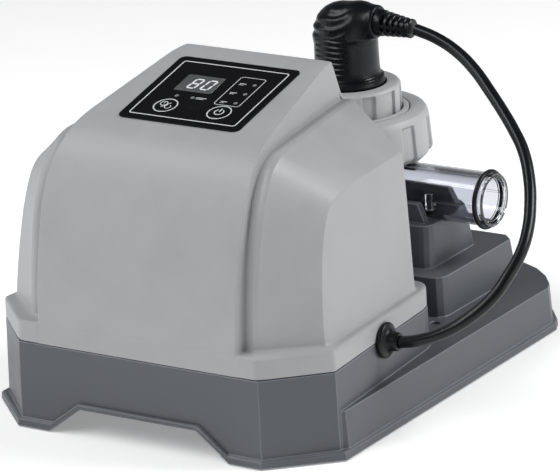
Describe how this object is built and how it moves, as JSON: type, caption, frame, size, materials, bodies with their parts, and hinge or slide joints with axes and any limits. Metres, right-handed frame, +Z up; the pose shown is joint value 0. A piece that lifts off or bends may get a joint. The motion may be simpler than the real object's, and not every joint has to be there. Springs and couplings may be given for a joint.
{
  "type": "salt chlorine generator",
  "caption": "Pool salt chlorine generator: mains controller with sloping panel on a long base, and a clear flow cell with two hose ports and a plug-in lead.",
  "frame": {"origin": "on the floor, under the middle of the base, measured without the cell lead and its plug", "axes": "+X to the right seen from the front, -Y out of the front face, +Z up"},
  "size_m": [0.363, 0.382, 0.2465],
  "materials": {
    "cover_plastic": "light grey moulded housing plastic with a fine satin texture",
    "base_plastic": "dark grey moulded plastic with a fine satin texture",
    "collar_plastic": "light grey moulded plastic, a little glossier than the cover",
    "clear_plastic": "clear, faintly blue-grey moulded plastic",
    "black_plastic": "black satin moulded plastic",
    "panel_gloss": "glossy black printed film",
    "window_smoke": "smoked display lens",
    "rubber": "black rubber",
    "cord_rubber": "black cable sheath, satin",
    "white_plastic": "white moulded plastic",
    "steel": "plain stainless steel",
    "titanium": "coated titanium sheet, dark grey",
    "copper": "bright copper alloy contacts",
    "board": "green circuit board"
  },
  "bodies": {
    "root": {"base_shell": "base_plastic", "cover": "cover_plastic", "cover_gasket": "rubber", "foot_1": "rubber", "foot_2": "rubber", "foot_3": "rubber", "foot_4": "rubber", "cover_screw_1": "steel", "cover_screw_2": "steel", "cover_screw_3": "steel", "cover_screw_4": "steel", "panel_overlay": "panel_gloss", "display_window": "window_smoke", "display_module": "black_plastic", "display_board": "board", "timer_switch": "steel", "power_switch": "steel", "light_timer": "white_plastic", "light_flow": "white_plastic", "light_high": "white_plastic", "light_good": "white_plastic", "light_low": "white_plastic", "power_board": "board", "transformer": "black_plastic", "heat_sink": "steel", "terminal_block": "white_plastic", "capacitor_1": "black_plastic", "capacitor_2": "black_plastic", "relay": "white_plastic", "ribbon_lead": "white_plastic", "mains_gland": "black_plastic", "cell_grommet": "rubber", "cell_wire": "cord_rubber", "mains_wire": "cord_rubber", "cell_lead": "cord_rubber", "cell_housing": "clear_plastic", "port_ring_right": "rubber", "port_ring_left": "rubber", "housing_screw_1": "steel", "housing_screw_2": "steel", "cell_cap": "collar_plastic", "cell_seal": "rubber", "terminal_pin_1": "copper", "terminal_pin_2": "copper", "terminal_pin_3": "copper", "electrode_1": "titanium", "electrode_2": "titanium", "electrode_3": "titanium", "electrode_4": "titanium", "electrode_5": "titanium", "plate_holder": "white_plastic"},
    "power_button": {"power_button": "panel_gloss"},
    "timer_button": {"timer_button": "panel_gloss"},
    "plug": {"plug_body": "black_plastic", "plug_relief": "rubber"},
    "plug_nut": {"plug_nut": "collar_plastic"},
    "cell_nut": {"cell_nut": "collar_plastic"},
    "flow_paddle": {"flow_paddle": "white_plastic"}
  },
  "joints": [
    {"name": "power_press", "type": "slide", "parent": "root", "child": "power_button", "axis": [0, 0.2329, -0.9725], "range_m": [0, 0.0005], "stiffness_N_per_m": 800},
    {"name": "timer_press", "type": "slide", "parent": "root", "child": "timer_button", "axis": [0, 0.2329, -0.9725], "range_m": [0, 0.0005], "stiffness_N_per_m": 800},
    {"name": "cell_nut_turn", "type": "hinge", "parent": "root", "child": "cell_nut", "pos_m": [0, 0.1026, 0.147], "axis": [0, 0, 1], "range_deg": [0, 270]},
    {"name": "plug_lift", "type": "slide", "parent": "root", "child": "plug", "axis": [0, 0, 1], "range_m": [0, 0.028]},
    {"name": "plug_nut_turn", "type": "hinge", "parent": "plug", "child": "plug_nut", "pos_m": [0, 0.1026, 0.173], "axis": [0, 0, 1], "range_deg": [0, 270]},
    {"name": "flow_paddle_swing", "type": "hinge", "parent": "root", "child": "flow_paddle", "pos_m": [0.027, 0.1026, 0.136], "axis": [0, -1, 0], "range_deg": [0, 20]}
  ]
}
